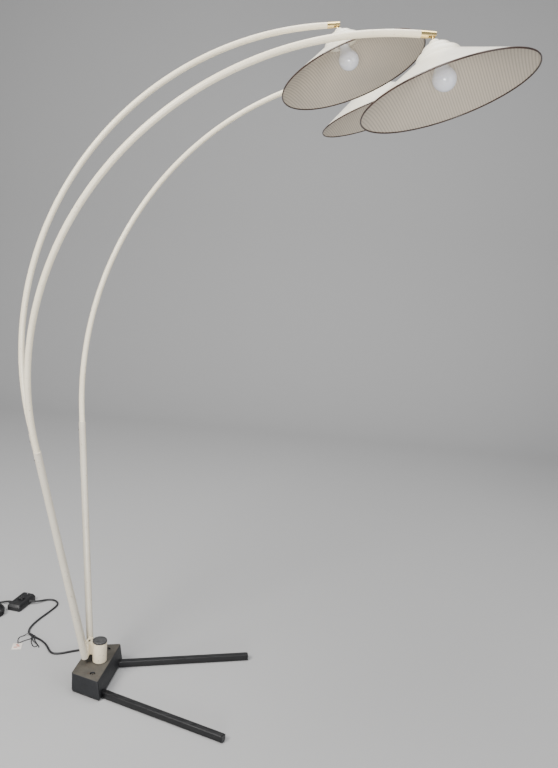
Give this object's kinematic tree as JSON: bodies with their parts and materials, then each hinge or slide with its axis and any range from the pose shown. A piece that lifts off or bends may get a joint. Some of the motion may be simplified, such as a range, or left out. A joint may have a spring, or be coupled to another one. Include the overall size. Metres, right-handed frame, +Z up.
{
  "type": "three-arm arc floor lamp",
  "caption": "Arc floor lamp with turning bent arms, tilting coolie shades, a weighted base with splayed legs, and a floor dimmer on its cord.",
  "frame": {"origin": "on the floor, under the axis of the base's centre post", "axes": "+Z up, +X forward between the two legs, the way the arms reach; +Y to the left of that"},
  "size_m": [1.7483, 1.3487, 2.0734],
  "materials": {
    "cast_block": "worn black paint, dusty top",
    "black_plate": "satin",
    "pad_rubber": "matt",
    "post_steel": "satin",
    "leg_black": "satin black",
    "cap_plastic": "matt",
    "screw_steel": "satin",
    "terminal_white": "gloss",
    "grommet_rubber": "matt",
    "cream_holder": "satin cream enamel",
    "knob_grey": "mottled satin",
    "cream_tube": "satin cream enamel",
    "cream_arc": "satin cream enamel",
    "brass_bright": "polished",
    "shade_cream": "cream lacquer over spun sheet",
    "trim_brown": "satin",
    "holder_ivory": "matt",
    "bulb_cap_metal": "satin",
    "bulb_white": "opal white",
    "cord_black": "satin",
    "tag_white": "matt card",
    "dimmer_black": "satin",
    "slider_black": "gloss",
    "plug_black": "satin"
  },
  "bodies": {
    "base": {"base_block": "cast_block", "bottom_plate": "black_plate", "base_pads": "pad_rubber", "centre_post": "post_steel", "leg_left": "leg_black", "leg_right": "leg_black", "leg_caps": "cap_plastic", "leg_screws": "screw_steel", "terminal_block": "terminal_white", "cord_grommet": "grommet_rubber", "mains_cord": "cord_black", "cord_tie": "tag_white", "dimmer_case": "dimmer_black", "plug_cord": "cord_black", "cord_coil": "cord_black", "mains_plug": "plug_black"},
    "holder": {"arm_holder": "cream_holder", "holder_washer": "post_steel", "lower_tube_a": "cream_tube", "lower_tube_b": "cream_tube", "lower_tube_c": "cream_tube", "arm_screw_a": "screw_steel", "arm_screw_b": "screw_steel", "arm_screw_c": "screw_steel"},
    "knob": {"clamp_knob": "knob_grey"},
    "slider": {"dimmer_slider": "slider_black"},
    "arm_a": {"swivel_spigot_a": "cream_arc", "upper_tube_a": "cream_arc", "brass_tip_a": "brass_bright", "tilt_pin_a": "brass_bright"},
    "shade_a": {"shade_stem_a": "brass_bright", "shade_crown_a": "shade_cream", "shade_skirt_a": "shade_cream", "rim_trim_a": "trim_brown", "lampholder_a": "holder_ivory", "bulb_cap_a": "bulb_cap_metal", "bulb_glass_a": "bulb_white"},
    "arm_b": {"swivel_spigot_b": "cream_arc", "upper_tube_b": "cream_arc", "brass_tip_b": "brass_bright", "tilt_pin_b": "brass_bright"},
    "shade_b": {"shade_stem_b": "brass_bright", "shade_crown_b": "shade_cream", "shade_skirt_b": "shade_cream", "rim_trim_b": "trim_brown", "lampholder_b": "holder_ivory", "bulb_cap_b": "bulb_cap_metal", "bulb_glass_b": "bulb_white"},
    "arm_c": {"swivel_spigot_c": "cream_arc", "upper_tube_c": "cream_arc", "brass_tip_c": "brass_bright", "tilt_pin_c": "brass_bright"},
    "shade_c": {"shade_stem_c": "brass_bright", "shade_crown_c": "shade_cream", "shade_skirt_c": "shade_cream", "rim_trim_c": "trim_brown", "lampholder_c": "holder_ivory", "bulb_cap_c": "bulb_cap_metal", "bulb_glass_c": "bulb_white"}
  },
  "joints": [
    {"name": "holder_swivel", "type": "hinge", "parent": "base", "child": "holder", "pos_m": [0, 0, 0.1], "axis": [0, 0, 1], "range_deg": [-30, 30]},
    {"name": "knob_turn", "type": "hinge", "parent": "base", "child": "knob", "pos_m": [0, 0, 0.137], "axis": [0, 0, 1], "continuous": true},
    {"name": "arm_a_turn", "type": "hinge", "parent": "holder", "child": "arm_a", "pos_m": [-0.22702, 0, 0.80402], "axis": [-0.2419, 0, 0.9703], "range_deg": [-6, 1]},
    {"name": "shade_a_tilt", "type": "hinge", "parent": "arm_a", "child": "shade_a", "pos_m": [0.59207, 0.26158, 2.06319], "axis": [0.1884, -0.947, 0.2603], "range_deg": [-15, 12]},
    {"name": "arm_b_turn", "type": "hinge", "parent": "holder", "child": "arm_b", "pos_m": [-0.13487, -0.17582, 0.80402], "axis": [-0.1282, -0.2052, 0.9703], "range_deg": [-30, 0]},
    {"name": "shade_b_tilt", "type": "hinge", "parent": "arm_b", "child": "shade_b", "pos_m": [0.85061, -0.15534, 1.94826], "axis": [0.212, -0.9469, 0.2419], "range_deg": [-15, 12]},
    {"name": "arm_c_turn", "type": "hinge", "parent": "holder", "child": "arm_c", "pos_m": [-0.13487, 0.17582, 0.80402], "axis": [-0.1282, 0.2052, 0.9703], "range_deg": [0, 30]},
    {"name": "shade_c_tilt", "type": "hinge", "parent": "arm_c", "child": "shade_c", "pos_m": [0.69111, 0.73662, 2.02811], "axis": [0.298, -0.9367, 0.1841], "range_deg": [-15, 12]},
    {"name": "dimmer_slide", "type": "slide", "parent": "base", "child": "slider", "axis": [0.1392, 0.9903, 0], "range_m": [-0.015, 0.015]}
  ]
}
